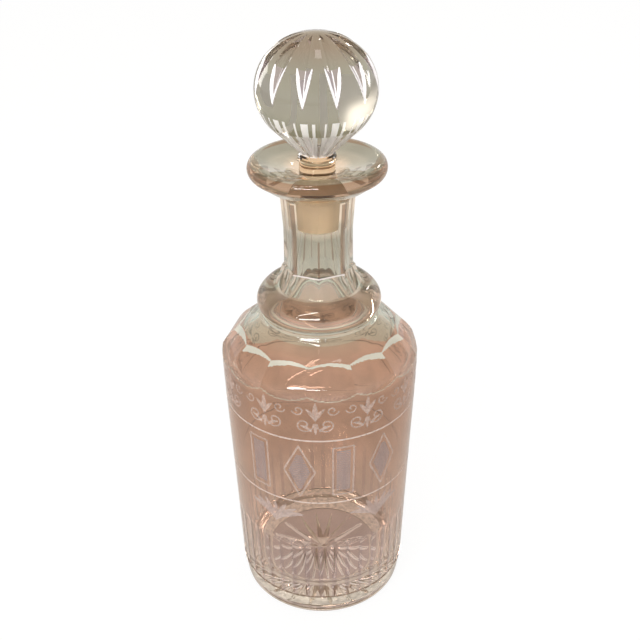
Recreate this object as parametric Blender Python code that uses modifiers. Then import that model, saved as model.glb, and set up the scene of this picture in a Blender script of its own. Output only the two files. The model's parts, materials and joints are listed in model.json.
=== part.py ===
"""Cut glass spirit decanter: a bottle, the ring round its neck and its ground-in ball stopper.

It stands on the XY plane with its axis on +Z. Lengths are in metres and angles in degrees.
"""

import math

import bmesh
import bpy

# Foot, base and body of the bottle
BODY_RADIUS = 0.0470
SHOULDER_HEIGHT = 0.1405
WALL = 0.0036
BODY_TAPER = 0.0042
HEEL_RADIUS = BODY_RADIUS - BODY_TAPER
HEEL_HEIGHT = 0.0140
HEEL_TUCK = 0.0052
FOOT_RADIUS = HEEL_RADIUS - HEEL_TUCK
FOOT_WIDTH = 0.0058
FOOT_INNER_RADIUS = FOOT_RADIUS - FOOT_WIDTH
RECESS_SLOPE = 0.0006
RECESS_RADIUS = FOOT_INNER_RADIUS - RECESS_SLOPE
RECESS_DEPTH = 0.0010
BASE_THICKNESS = 0.0160
FLOOR_CORNER_HEIGHT = 0.0070
FLOOR_CORNER_WIDTH = 0.0072

# Shoulder, neck root and neck, each height measured up from the one below it
RING_SEAT_RADIUS = 0.0254
RING_SEAT_RISE = 0.0207
RING_SEAT_HEIGHT = SHOULDER_HEIGHT + RING_SEAT_RISE
SHOULDER_EDGE = (BODY_RADIUS, SHOULDER_HEIGHT)
RING_SEAT = (RING_SEAT_RADIUS, RING_SEAT_HEIGHT)
NECK_RADIUS = 0.0165
LEDGE_STEP = 0.0003
LEDGE_RADIUS = NECK_RADIUS + LEDGE_STEP
LEDGE_RISE = 0.0228
LEDGE_HEIGHT = RING_SEAT_HEIGHT + LEDGE_RISE
NECK_LENGTH = 0.0300
NECK_TOP_HEIGHT = LEDGE_HEIGHT + NECK_LENGTH

# Lip, a thick disc with a round edge
LIP_REACH = 0.0142
LIP_RADIUS = NECK_RADIUS + LIP_REACH
LIP_EDGE_RADIUS = 0.0041
LIP_RISE = 0.0215
LIP_HEIGHT = NECK_TOP_HEIGHT + LIP_RISE
LIP_TOP_DEGREES = 100.0
LIP_UNDER_DEGREES = -69.0

# Ground seat, the stopper's peg in it and the bore under it
PEG_RADIUS = 0.0080
PEG_TAPER_SHARE = 0.05
PEG_REACH = 0.0305
PEG_END_HEIGHT = LIP_HEIGHT - PEG_REACH
PEG_END_BEVEL = 0.0008
SEAT_DROP = 0.0090
SEAT_TOP_HEIGHT = LIP_HEIGHT - SEAT_DROP
SEAT_RUN_ON = 0.0015
SEAT_CLEARANCE = 0.0003
BORE_ROOT_RADIUS = 0.0130
BORE_ROOT_RISE = 0.0138
BORE_ROOT_HEIGHT = RING_SEAT_HEIGHT + BORE_ROOT_RISE

# Ring round the neck
RING_REACH = 0.0037
RING_RADIUS = RING_SEAT_RADIUS + RING_REACH
RING_THICKNESS = 0.0138
RING_TOP_HEIGHT = RING_SEAT_HEIGHT + RING_THICKNESS
RING_GAP = 0.0003

# Stopper: its bead and waist above the lip, the cone on them and the ball on that
BEAD_STEP = 0.0004
BEAD_RADIUS = PEG_RADIUS + BEAD_STEP
BEAD_RISE = 0.0007
BEAD_HEIGHT = LIP_HEIGHT + BEAD_RISE
BEAD_THICKNESS = 0.0011
WAIST_STEP = 0.0008
WAIST_RADIUS = PEG_RADIUS - WAIST_STEP
WAIST_RISE = 0.0018
WAIST_HEIGHT = BEAD_HEIGHT + WAIST_RISE
CONE_HEIGHT = 0.0122
BALL_RADIUS = 0.0261
BALL_HALF_HEIGHT = 0.0236
BALL_UNDER_DEGREES = 40.0
BALL_UNDER_HEIGHT = BALL_HALF_HEIGHT * math.sin(math.radians(BALL_UNDER_DEGREES))
BALL_CENTRE_HEIGHT = WAIST_HEIGHT + CONE_HEIGHT + BALL_UNDER_HEIGHT

# Eight flat panels on the neck
PANEL_COUNT = 8
PANEL_DEPTH = 0.00105
PANEL_CORNER_RADIUS = NECK_RADIUS - PANEL_DEPTH
PANEL_FLARE = 0.0004
PANEL_TOP_CORNER_RADIUS = NECK_RADIUS + PANEL_FLARE
PANEL_RUN_ON = 0.0050
PANEL_TOP_HEIGHT = NECK_TOP_HEIGHT + PANEL_RUN_ON
PANEL_RUN_OUT_WIDTH = 0.0050
PANEL_RUN_OUT_RADIUS = NECK_RADIUS + PANEL_RUN_OUT_WIDTH
PANEL_RUN_OUT_RISE = 0.0045

# Flat facets round the shoulder
FACET_COUNT = 13
FACET_TURN_DEGREES = 13.0
FACET_EXIT_WIDTH = 0.0014
FACET_EXIT_RISE = 0.0035

# Upright flutes round the foot of the body
FLUTE_COUNT = 40
FLUTE_LENGTH = 0.0380
FLUTE_TURN_DEGREES = 2.7
FLUTE_DEPTH = 0.0007
FLUTE_GAP = 0.0003
FLUTE_SIDES = 8
FLUTE_DOME_STEPS = 2

# Star under the base
STAR_RAY_COUNT = 18
STAR_TURN_DEGREES = -2.5
STAR_MARGIN = 0.0017
STAR_RADIUS = RECESS_RADIUS - STAR_MARGIN
STAR_DEPTH = 0.0022
STAR_INNER_RADIUS = 0.0088
STAR_OVERRUN = 0.0001

# Mitre cuts on the ball and on the cone under it
BALL_CUT_COUNT = 12
BALL_CUT_TURN_DEGREES = 17.7
BALL_CUT_LOW_DEGREES = -2.0
BALL_CUT_TOP_DEGREES = 80.0
BALL_CUT_DEPTH = 0.0017
BALL_CUT_WIDTH_SHARE = 1.6
BALL_CUT_POINTS = 12
CONE_CUT_DEPTH = 0.0023
CONE_CUT_WAIST_DEPTH = 0.0009
CONE_CUT_WIDTH_SHARE = 1.2
CONE_CUT_OVERRUN = 0.0130

# How finely the round shapes are divided
BOTTLE_STEPS = 56
RING_STEPS = 48
STOPPER_STEPS = 48
ARC_STEPS = 6
BALL_ARC_STEPS = 14
UPRIGHT_DEGREES = 90.0
OVERRUN = 0.0060
MERGE_DISTANCE = 0.00001

# Points of the bottle's outline between two named corners: how far across, how far along
LIP_UNDER_SHARES = ((0.33, 0.22), (0.71, 0.46), (0.90, 0.68))
ROOT_SHARES = ((0.08, 0.11), (0.21, 0.24), (0.38, 0.40), (0.60, 0.66), (0.80, 0.87))
SHOULDER_SHARES = (
    (0.14, 0.13),
    (0.37, 0.35),
    (0.51, 0.44),
    (0.69, 0.55),
    (0.83, 0.66),
    (0.93, 0.79),
    (0.985, 0.91),
)
WALL_SHARES = ((0.0, 0.05), (0.04, 0.12), (0.15, 0.23), (0.38, 0.41))
HEEL_SHARES = ((0.19, 0.50), (0.32, 0.83), (0.63, 0.97))
FLOOR_SHARES = ((0.50, 0.08), (0.88, 0.45))
FACET_SHARES = ((0.491, 0.444), (0.981, 0.879))
CAVITY_TOP_SHARES = ((0.04, 0.10), (0.18, 0.24), (0.44, 0.42), (0.68, 0.60), (0.86, 0.79))
BORE_SHARES = ((0.40, 0.32), (0.76, 0.72))
FUNNEL_SHARES = ((0.06, 0.29), (0.15, 0.46), (0.34, 0.64), (0.66, 0.81))
RING_SHARES = ((0.40, 0.06), (0.72, 0.22), (0.93, 0.42), (1.0, 0.62), (0.94, 0.80), (0.72, 0.93))

# Display colours of the glass, and how rough it is
BOTTLE_COLOUR = (0.80, 0.74, 0.68, 1.0)
RING_COLOUR = (0.78, 0.72, 0.64, 1.0)
STOPPER_COLOUR = (0.78, 0.78, 0.72, 1.0)
GLASS_ROUGHNESS = 0.05

COLLECTION_NAME = "decanter"
CUTTER_COLLECTION_NAME = "cutters"


def clear_scene():
    for obj in list(bpy.data.objects):
        bpy.data.objects.remove(obj, do_unlink=True)


def new_collection(name):
    collection = bpy.data.collections.new(name)
    bpy.context.scene.collection.children.link(collection)
    return collection


def glass(name, colour):
    material = bpy.data.materials.new(name)
    material.use_nodes = True
    shader = material.node_tree.nodes["Principled BSDF"]
    shader.inputs["Base Color"].default_value = colour
    shader.inputs["Roughness"].default_value = GLASS_ROUGHNESS
    shader.inputs["Metallic"].default_value = 0.0
    shader.inputs["Transmission Weight"].default_value = 1.0
    material.diffuse_color = colour
    return material


def between(start, end, shares):
    """Outline points from start to end, both included, at the given shares of the way."""
    across = end[0] - start[0]
    along = end[1] - start[1]
    middle = [(start[0] + across * share, start[1] + along * rise) for share, rise in shares]
    return [start, *middle, end]


def arc(centre, radius, height, from_degrees, to_degrees, steps):
    """Points of an ellipse's arc, both ends included."""
    points = []
    for index in range(steps + 1):
        angle = math.radians(from_degrees + (to_degrees - from_degrees) * index / steps)
        points.append((centre[0] + radius * math.cos(angle), centre[1] + height * math.sin(angle)))
    return points


def along_path(*stretches):
    """Joins stretches that share their end points into one outline."""
    points = list(stretches[0])
    for stretch in stretches[1:]:
        points.extend(stretch[1:])
    return points


def turned(name, outline, steps, collection, closed=False):
    """A solid of revolution about the object's Z axis, from an outline in the XZ plane."""
    edges = list(zip(range(len(outline)), range(1, len(outline))))
    if closed:
        edges.append((len(outline) - 1, 0))
    mesh = bpy.data.meshes.new(name)
    mesh.from_pydata([(radius, 0, height) for radius, height in outline], edges, [])
    obj = bpy.data.objects.new(name, mesh)
    collection.objects.link(obj)
    screw = obj.modifiers.new("turn", "SCREW")
    screw.axis = "Z"
    screw.steps = steps
    screw.render_steps = steps
    screw.use_merge_vertices = True
    screw.merge_threshold = MERGE_DISTANCE
    screw.use_smooth_shade = False
    return obj


def cutter_look(obj):
    obj.hide_render = True
    obj.display_type = "WIRE"
    return obj


def cut_with(obj, cutters, name):
    """Cuts every solid of a collection out of an object."""
    boolean = obj.modifiers.new(name, "BOOLEAN")
    boolean.operation = "DIFFERENCE"
    boolean.solver = "EXACT"
    boolean.operand_type = "COLLECTION"
    boolean.collection = cutters


def cut_out(obj, cutter, name):
    boolean = obj.modifiers.new(name, "BOOLEAN")
    boolean.operation = "DIFFERENCE"
    boolean.solver = "EXACT"
    boolean.object = cutter


def groove_mesh(name, path):
    """A diamond-shaped tube along a path in the XZ plane, given as (radius, height, depth) points."""
    curve = bpy.data.curves.new(name, "CURVE")
    curve.dimensions = "3D"
    curve.bevel_depth = 1.0
    curve.bevel_resolution = 0
    curve.use_fill_caps = True
    spline = curve.splines.new("POLY")
    spline.points.add(len(path) - 1)
    for point, (radius, height, depth) in zip(spline.points, path):
        point.co = (radius, 0, height, 1.0)
        point.radius = depth
    sweep = bpy.data.objects.new(name, curve)
    bpy.context.scene.collection.objects.link(sweep)
    mesh = bpy.data.meshes.new_from_object(sweep.evaluated_get(bpy.context.evaluated_depsgraph_get()))
    bpy.data.objects.remove(sweep)
    weld = bmesh.new()
    weld.from_mesh(mesh)
    bmesh.ops.remove_doubles(weld, verts=weld.verts, dist=MERGE_DISTANCE)
    weld.to_mesh(mesh)
    weld.free()
    return mesh


def root_outline():
    return between((LEDGE_RADIUS, LEDGE_HEIGHT), RING_SEAT, ROOT_SHARES)


def peg_radius_at(height):
    return PEG_RADIUS - (SEAT_TOP_HEIGHT - height) * PEG_TAPER_SHARE


def inside_outline():
    """From the middle of the floor up the inside to the top of the lip."""
    floor_edge = HEEL_RADIUS - WALL
    seat_end = PEG_END_HEIGHT - SEAT_RUN_ON
    seat_end_radius = peg_radius_at(seat_end) + SEAT_CLEARANCE
    seat_radius = PEG_RADIUS + SEAT_CLEARANCE
    wall_foot = (floor_edge, BASE_THICKNESS + FLOOR_CORNER_HEIGHT)
    wall_top = (BODY_RADIUS - WALL, SHOULDER_HEIGHT - WALL / 2)
    lip_start = lip_edge()[0]
    floor = between((floor_edge - FLOOR_CORNER_WIDTH, BASE_THICKNESS), wall_foot, FLOOR_SHARES)
    wall = between(wall_top, wall_foot, WALL_SHARES)[::-1]
    dome = between(wall_top, (BORE_ROOT_RADIUS, BORE_ROOT_HEIGHT), CAVITY_TOP_SHARES)
    bore = between((BORE_ROOT_RADIUS, BORE_ROOT_HEIGHT), (seat_end_radius, seat_end), BORE_SHARES)
    funnel = between((seat_radius, SEAT_TOP_HEIGHT), lip_start, FUNNEL_SHARES)
    return [(0, BASE_THICKNESS), *along_path(floor, wall, dome, bore), *funnel]


def lip_edge():
    centre = (LIP_RADIUS - LIP_EDGE_RADIUS, LIP_HEIGHT - LIP_EDGE_RADIUS)
    return arc(centre, LIP_EDGE_RADIUS, LIP_EDGE_RADIUS, LIP_TOP_DEGREES, LIP_UNDER_DEGREES, ARC_STEPS)


def outside_outline():
    """From the edge of the lip down the outside to the middle of the base."""
    edge = lip_edge()
    under = between(edge[-1], (NECK_RADIUS, NECK_TOP_HEIGHT), LIP_UNDER_SHARES)
    shoulder = between(RING_SEAT, SHOULDER_EDGE, SHOULDER_SHARES)
    wall = between(SHOULDER_EDGE, (HEEL_RADIUS, HEEL_HEIGHT), WALL_SHARES)
    heel = between((HEEL_RADIUS, HEEL_HEIGHT), (FOOT_RADIUS, 0), HEEL_SHARES)
    underside = [(FOOT_INNER_RADIUS, 0), (RECESS_RADIUS, RECESS_DEPTH), (0, RECESS_DEPTH)]
    return [*along_path(edge, under), *along_path(root_outline(), shoulder, wall, heel), *underside]


def panel_cutter(collection):
    """A ring whose eight-sided hole leaves flat panels on the neck."""
    outline = [
        (PANEL_CORNER_RADIUS, LEDGE_HEIGHT),
        (LIP_RADIUS, LEDGE_HEIGHT),
        (LIP_RADIUS, PANEL_TOP_HEIGHT + PANEL_RUN_OUT_RISE),
        (PANEL_RUN_OUT_RADIUS, PANEL_TOP_HEIGHT + PANEL_RUN_OUT_RISE),
        (PANEL_TOP_CORNER_RADIUS, PANEL_TOP_HEIGHT),
        (PANEL_CORNER_RADIUS, (LEDGE_HEIGHT + PANEL_TOP_HEIGHT) / 2),
    ]
    return cutter_look(turned("neck_panels", outline[::-1], PANEL_COUNT, collection, closed=True))


def facet_cutter(collection):
    """A ring whose thirteen-sided hole leaves flat facets on the shoulder."""
    high, low = between(RING_SEAT, SHOULDER_EDGE, FACET_SHARES)[1:-1]
    fall = (high[1] - low[1]) / (low[0] - high[0])
    outline = [
        (low[0] + OVERRUN, low[1] - OVERRUN * fall),
        (low[0] + OVERRUN + OVERRUN, low[1] - OVERRUN * fall + OVERRUN),
        (high[0] + OVERRUN, high[1] + FACET_EXIT_RISE),
        (high[0] - FACET_EXIT_WIDTH, high[1] + FACET_EXIT_RISE),
        high,
    ]
    obj = turned("shoulder_facets", outline[::-1], FACET_COUNT, collection, closed=True)
    obj.rotation_euler.z = math.radians(FACET_TURN_DEGREES)
    return cutter_look(obj)


def flute_cutters(collection):
    """Upright half-round grooves, each a turned bullet pressed flat against the body."""
    lean = math.atan2(BODY_TAPER, SHOULDER_HEIGHT - HEEL_HEIGHT)
    half_width = math.pi * HEEL_RADIUS / FLUTE_COUNT - FLUTE_GAP / 2
    dome = arc((0, FLUTE_LENGTH - half_width), half_width, half_width, UPRIGHT_DEGREES, 0, FLUTE_DOME_STEPS)
    outline = [*dome, (half_width, 0), (0, 0)]
    for index in range(FLUTE_COUNT):
        angle = math.radians(FLUTE_TURN_DEGREES) + math.tau * index / FLUTE_COUNT
        obj = turned(f"flute_{index:02d}", outline, FLUTE_SIDES, collection)
        obj.scale.x = FLUTE_DEPTH / half_width
        obj.rotation_euler = (0, lean, angle)
        obj.location = (HEEL_RADIUS * math.cos(angle), HEEL_RADIUS * math.sin(angle), HEEL_HEIGHT)
        cutter_look(obj)


def star_cutter(collection):
    """A low cone whose rim points lie by turns far out and near the middle."""
    depth = STAR_DEPTH + STAR_OVERRUN
    rim_radius = STAR_RADIUS * depth / STAR_DEPTH
    rim_points = STAR_RAY_COUNT + STAR_RAY_COUNT
    bpy.ops.mesh.primitive_cone_add(vertices=rim_points, radius1=rim_radius, radius2=0, depth=depth)
    obj = bpy.context.object
    obj.name = "star"
    obj.users_collection[0].objects.unlink(obj)
    collection.objects.link(obj)
    rim = [vertex for vertex in obj.data.vertices if vertex.co.z < 0]
    for vertex in rim[::2]:
        vertex.co.x *= STAR_INNER_RADIUS / STAR_RADIUS
        vertex.co.y *= STAR_INNER_RADIUS / STAR_RADIUS
    obj.rotation_euler.z = math.radians(STAR_TURN_DEGREES)
    obj.location.z = RECESS_DEPTH - STAR_OVERRUN + depth / 2
    return cutter_look(obj)


def make_bottle(parts, cutters):
    outline = inside_outline()[:-1] + outside_outline()
    bottle = turned("bottle", outline, BOTTLE_STEPS, parts)
    cut_out(bottle, panel_cutter(cutters), "neck_panels")
    cut_out(bottle, facet_cutter(cutters), "shoulder_facets")
    cut_out(bottle, star_cutter(cutters), "star")
    flutes = bpy.data.collections.new("flute_cutters")
    cutters.children.link(flutes)
    flute_cutters(flutes)
    cut_with(bottle, flutes, "flutes")
    bottle.data.materials.append(glass("bottle_glass", BOTTLE_COLOUR))
    return bottle


def ring_inside_point(point):
    radius, height = point
    return (radius + RING_GAP, height + RING_GAP)


def make_neck_ring(parts):
    """The ring follows the neck root under it at a small even gap."""
    seat = [ring_inside_point(point) for point in root_outline() if point[1] < RING_TOP_HEIGHT]
    top = (seat[0][0], RING_TOP_HEIGHT)
    outside = between(top, (RING_RADIUS, seat[-1][1]), RING_SHARES)[1:-1]
    outline = [*outside, *reversed(seat), top]
    ring = turned("neck_ring", outline, RING_STEPS, parts, closed=True)
    ring.data.materials.append(glass("ring_glass", RING_COLOUR))
    return ring


def ball_point(degrees):
    angle = math.radians(degrees)
    return (BALL_RADIUS * math.cos(angle), BALL_CENTRE_HEIGHT + BALL_HALF_HEIGHT * math.sin(angle))


def stopper_outline():
    """From the top of the ball down the outside to the middle of the peg's end."""
    centre = (0, BALL_CENTRE_HEIGHT)
    ball = arc(centre, BALL_RADIUS, BALL_HALF_HEIGHT, UPRIGHT_DEGREES, -BALL_UNDER_DEGREES, BALL_ARC_STEPS)
    bead_low = BEAD_HEIGHT - BEAD_THICKNESS
    end_radius = peg_radius_at(PEG_END_HEIGHT)
    peg = [
        (WAIST_RADIUS, WAIST_HEIGHT),
        (BEAD_RADIUS, BEAD_HEIGHT),
        (BEAD_RADIUS, bead_low),
        (PEG_RADIUS, bead_low - BEAD_THICKNESS / 2),
        (PEG_RADIUS, SEAT_TOP_HEIGHT),
        (peg_radius_at(PEG_END_HEIGHT + PEG_END_BEVEL), PEG_END_HEIGHT + PEG_END_BEVEL),
        (end_radius - PEG_END_BEVEL, PEG_END_HEIGHT),
        (0, PEG_END_HEIGHT),
    ]
    return [(0, ball[0][1]), *ball[1:], *peg]


def ball_cut_path():
    path = []
    for index in range(1, BALL_CUT_POINTS):
        share = index / BALL_CUT_POINTS
        degrees = BALL_CUT_LOW_DEGREES + (BALL_CUT_TOP_DEGREES - BALL_CUT_LOW_DEGREES) * share
        path.append((*ball_point(degrees), BALL_CUT_DEPTH * math.sin(math.pi * share)))
    return path


def cone_cut_path():
    """Straight up the cone from the waist, and on until the ball curves away from it."""
    top = ball_point(-BALL_UNDER_DEGREES)
    length = math.dist(top, (WAIST_RADIUS, WAIST_HEIGHT))
    across = (top[0] - WAIST_RADIUS) / length * CONE_CUT_OVERRUN
    along = (top[1] - WAIST_HEIGHT) / length * CONE_CUT_OVERRUN
    return [
        (WAIST_RADIUS, WAIST_HEIGHT, CONE_CUT_WAIST_DEPTH),
        (*top, CONE_CUT_DEPTH),
        (top[0] + across, top[1] + along, CONE_CUT_DEPTH),
    ]


def stopper_cutters(collection):
    """Twelve grooves down the ball and twelve up the cone, each set from one mesh."""
    grooves = (
        (groove_mesh("ball_cut", ball_cut_path()), BALL_CUT_WIDTH_SHARE),
        (groove_mesh("cone_cut", cone_cut_path()), CONE_CUT_WIDTH_SHARE),
    )
    for index in range(BALL_CUT_COUNT):
        for mesh, width_share in grooves:
            obj = bpy.data.objects.new(f"{mesh.name}_{index:02d}", mesh)
            obj.scale.y = width_share
            obj.rotation_euler.z = math.radians(BALL_CUT_TURN_DEGREES) + math.tau * index / BALL_CUT_COUNT
            collection.objects.link(cutter_look(obj))


def make_stopper(parts, cutters):
    """One piece of glass that lifts straight up out of the neck."""
    outline = [(radius, height - PEG_END_HEIGHT) for radius, height in stopper_outline()]
    stopper = turned("stopper", outline, STOPPER_STEPS, parts)
    stopper.location.z = PEG_END_HEIGHT
    mitres = bpy.data.collections.new("stopper_cutters")
    cutters.children.link(mitres)
    stopper_cutters(mitres)
    cut_with(stopper, mitres, "mitre_cuts")
    stopper.data.materials.append(glass("stopper_glass", STOPPER_COLOUR))
    return stopper


def main():
    clear_scene()
    parts = new_collection(COLLECTION_NAME)
    cutters = new_collection(CUTTER_COLLECTION_NAME)
    make_bottle(parts, cutters)
    make_neck_ring(parts)
    make_stopper(parts, cutters)


main()
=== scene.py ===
# %% [markdown]
# A cut glass decanter, seen from above
#
# This lesson dresses a plain model of a spirit decanter as real cut glass. The plain model already
# has the right sizes and the right motion: a bottle, the ring round its neck, and a stopper that
# lifts out. Here each of them gets a finer skin with smooth curves, sharp cuts, a frosted pattern and
# coloured glass.
#
# Glass has hardly any look of its own. It shows what is behind it, bent and mirrored, so its shape
# has to be right on the inside as well as on the outside. That is why every skin here is one closed
# wall of glass.

import json
import math

import bpy
import numpy as np
from mathutils import Euler, Matrix, Vector
from mathutils.geometry import interpolate_bezier

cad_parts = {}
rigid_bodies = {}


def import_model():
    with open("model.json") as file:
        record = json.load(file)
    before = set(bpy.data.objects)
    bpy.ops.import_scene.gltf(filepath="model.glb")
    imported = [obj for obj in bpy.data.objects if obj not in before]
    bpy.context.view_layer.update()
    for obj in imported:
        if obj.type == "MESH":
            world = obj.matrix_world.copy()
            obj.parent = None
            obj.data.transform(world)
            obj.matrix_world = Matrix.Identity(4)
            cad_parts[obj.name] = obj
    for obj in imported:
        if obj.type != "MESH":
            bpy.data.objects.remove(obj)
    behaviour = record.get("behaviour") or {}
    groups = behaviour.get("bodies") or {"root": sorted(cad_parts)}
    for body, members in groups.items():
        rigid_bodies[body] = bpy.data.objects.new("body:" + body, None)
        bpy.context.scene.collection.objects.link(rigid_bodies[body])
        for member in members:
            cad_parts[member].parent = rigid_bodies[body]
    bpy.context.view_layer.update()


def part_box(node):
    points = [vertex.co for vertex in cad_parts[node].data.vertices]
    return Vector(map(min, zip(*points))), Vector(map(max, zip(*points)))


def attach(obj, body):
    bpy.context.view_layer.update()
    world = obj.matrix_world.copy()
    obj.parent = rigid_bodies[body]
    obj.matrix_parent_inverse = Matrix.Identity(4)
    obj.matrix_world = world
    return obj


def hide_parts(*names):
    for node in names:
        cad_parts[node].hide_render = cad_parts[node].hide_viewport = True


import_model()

# %% [markdown]
# The camera
#
# The photograph looks down on the decanter at about thirty degrees, from about half a metre away. The
# body looks wide at the shoulder and narrow at the foot because of that short distance, so the
# distance matters as much as the angle. The whole picture leans a little to the left, and a small
# roll of the camera gives that.

# %% Place the camera
CAMERA_PLACE = (0.0003, -0.3888, 0.3836)
CAMERA_DOWN_DEGREES = 30.614
CAMERA_ROLL_DEGREES = 0.77
PICTURE_WIDTH = 640
FOCAL_PIXELS = 948.65
SENSOR_WIDTH = 36.0
NEAREST_SEEN = 0.01


def add_camera():
    camera = bpy.data.objects.new("camera", bpy.data.cameras.new("camera"))
    bpy.context.scene.collection.objects.link(camera)
    camera.data.sensor_width = SENSOR_WIDTH
    camera.data.lens = SENSOR_WIDTH * FOCAL_PIXELS / PICTURE_WIDTH
    camera.data.clip_start = NEAREST_SEEN
    camera.location = CAMERA_PLACE
    tilt = Euler((math.radians(90 - CAMERA_DOWN_DEGREES), 0, 0)).to_matrix()
    roll = Matrix.Rotation(-math.radians(CAMERA_ROLL_DEGREES), 3, "Z")
    camera.rotation_euler = (tilt @ roll).to_euler()
    bpy.context.scene.camera = camera


add_camera()
bpy.context.scene.view_settings.view_transform = "Standard"
print("lens:", round(bpy.context.scene.camera.data.lens, 2), "mm")

# %% [markdown]
# Outlines
#
# A decanter is turned, so each surface starts as an outline: how far from the axis, and how high. The
# outline gets a few measured points, and a smooth curve runs through them, with handles set the way
# Blender sets its automatic Bezier handles. Lengths are written in millimetres, which are easy to
# read on glass, and are turned into metres at the end.
#
# The plain model already has the right sizes, so the main ones are read from it: the reach of the
# body and of the ring, and the heights of the lip, of the peg's end and of the ball's top. The skin
# stays a tenth of a millimetre inside the plain body, so that it never grows past it.

# %% Sizes read from the plain model
MILLIMETRE = 0.001
SKIN_INSET = 0.1


def reach_of(node):
    """How far the node reaches from the axis, and its lowest and highest point, in millimetres."""
    low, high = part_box(node)
    return high.x / MILLIMETRE, low.z / MILLIMETRE, high.z / MILLIMETRE


BODY_REACH, FLOOR_LEVEL, LIP_TOP = reach_of("bottle")
RING_REACH = reach_of("neck_ring")[0]
PEG_END, BALL_TOP = reach_of("stopper")[1:]
WALL_RADIUS = BODY_REACH - SKIN_INSET
print("body:", round(BODY_REACH, 2), "lip top:", round(LIP_TOP, 2), "ring:", round(RING_REACH, 2))
print("ball top:", round(BALL_TOP, 2), "peg end:", round(PEG_END, 2))

# %% Smooth curves through a few points
HANDLE_SHARE = 1 / 3
FLOW_STEPS = 4


def flow(points, steps=FLOW_STEPS):
    """A smooth outline through the points, with this many pieces between each two of them."""
    knots = [Vector(point) for point in points]
    padded = [knots[0], *knots, knots[-1]]
    path = []
    for before, here, there, after in zip(padded, padded[1:], padded[2:], padded[3:]):
        reach = (there - here).length * HANDLE_SHARE
        start = here + (there - before).normalized() * reach
        end = there - (after - here).normalized() * reach
        path.extend(interpolate_bezier(here, start, end, there, steps + 1)[:-1])
    path.append(knots[-1])
    return [tuple(point) for point in path]


def arc(centre, radius, start, end, steps):
    """Points of a circle's arc, between two angles in degrees."""
    angles = np.radians(np.linspace(start, end, steps + 1))
    return [(centre[0] + radius * math.cos(a), centre[1] + radius * math.sin(a)) for a in angles]


print("points on a curve through three:", len(flow([(0, 0), (1, 1), (2, 0)])))

# %% [markdown]
# Columns that meet the cuts
#
# A turned skin is a grid: rows go up the outline and columns go round the axis. A cut looks sharp
# only if its edge lies on a column. The neck has 8 panels, the shoulder 13 facets, the foot 40 flutes
# and the star 18 rays, and no one spacing fits them all. So the columns are shifted a little in each
# zone, until every repeat starts on a column. The eye can't see the shift, and the ridges come out
# crisp.

# %% Lay out the columns
COLUMNS = 360


def columns_for(count, turn):
    """Angles of all columns, with each of `count` repeats from the angle `turn` starting on a column."""
    starts = turn + np.arange(count + 1) * 360 / count
    places = np.round(starts * COLUMNS / 360).astype(int)
    places[-1] = places[0] + COLUMNS
    run = np.arange(places[0], places[-1])
    angles = np.empty(COLUMNS)
    angles[run % COLUMNS] = np.interp(run, places, starts)
    return np.radians(angles)


def from_middle(angles, count, turn):
    """Angle from the middle of the repeat that each column lies in."""
    pitch = math.tau / count
    return (angles - math.radians(turn)) % pitch - pitch / 2


def flat_sided(corner_radius, offsets, count):
    """Distance of each column from the axis, on a shape with `count` flat sides."""
    return corner_radius * math.cos(math.pi / count) / np.cos(offsets)


ROUND = np.radians(np.arange(COLUMNS) * 360 / COLUMNS)


def row(radius, height, angles=ROUND):
    """One row of the grid, in metres. Radius and height may be numbers or one value for each column."""
    radius = np.broadcast_to(radius, (COLUMNS,)) * MILLIMETRE
    height = np.broadcast_to(height, (COLUMNS,)) * MILLIMETRE
    return np.stack([radius * np.cos(angles), radius * np.sin(angles), height], axis=1)


print("columns:", COLUMNS)

# %% [markdown]
# From rows to a closed skin
#
# The rows start at one point on the axis and end at another, so the skin closes by itself. The rows
# run up the inside of the glass and down the outside, which makes every face look outwards. Edges
# that bend by more than a few degrees are marked sharp, so that facets stay flat and curves stay
# smooth.
#
# Each face also gets the number of its finish. A finish may change from row to row, or from column to
# column within one row, which is how a thin bright line can follow a cut.

# %% Add a piece to the scene
def add_piece(name, points, faces, materials):
    """A mesh object made of points and faces, with its materials."""
    mesh = bpy.data.meshes.new(name)
    mesh.from_pydata(points, [], faces)
    for material in materials:
        mesh.materials.append(material)
    piece = bpy.data.objects.new(name, mesh)
    bpy.context.scene.collection.objects.link(piece)
    print(name, len(points), "points", len(faces), "faces")
    return piece


# %% Build a skin
SHARP_DEGREES = 11.0
CORNERS_OF_A_FACE = 4


def skin_faces(ring_count, point_count):
    """Faces between the first point, the rings of the skin and the last point."""
    here = np.arange(COLUMNS)
    beside = (here + 1) % COLUMNS
    start = 1 + np.arange(ring_count - 1)[:, None] * COLUMNS
    sides = [start + here, start + COLUMNS + here, start + COLUMNS + beside, start + beside]
    quads = np.stack(sides, axis=2).reshape(-1, CORNERS_OF_A_FACE)
    base = 1 + (ring_count - 1) * COLUMNS
    low = np.stack([np.zeros(COLUMNS, int), 1 + here, 1 + beside], axis=1)
    top = np.stack([base + here, np.full(COLUMNS, point_count - 1), base + beside], axis=1)
    return [*low.tolist(), *quads.tolist(), *top.tolist()]


def skin(name, rows, finishes, materials):
    """A closed mesh from rows. The first and the last row are single points on the axis."""
    first, *rings, last = rows
    points = np.concatenate([np.array([first]), *rings, np.array([last])]).tolist()
    faces = skin_faces(len(rings), len(points))
    piece = add_piece(name, points, faces, materials)
    finish = np.concatenate([np.broadcast_to(kind, (COLUMNS,)) for kind in finishes[: len(rings) + 1]])
    piece.data.polygons.foreach_set("material_index", finish.astype(np.int32))
    piece.data.polygons.foreach_set("use_smooth", np.ones(len(faces), bool))
    piece.data.set_sharp_from_angle(angle=math.radians(SHARP_DEGREES))
    return piece


print("edges that bend by more than", SHARP_DEGREES, "degrees are sharp")

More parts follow.
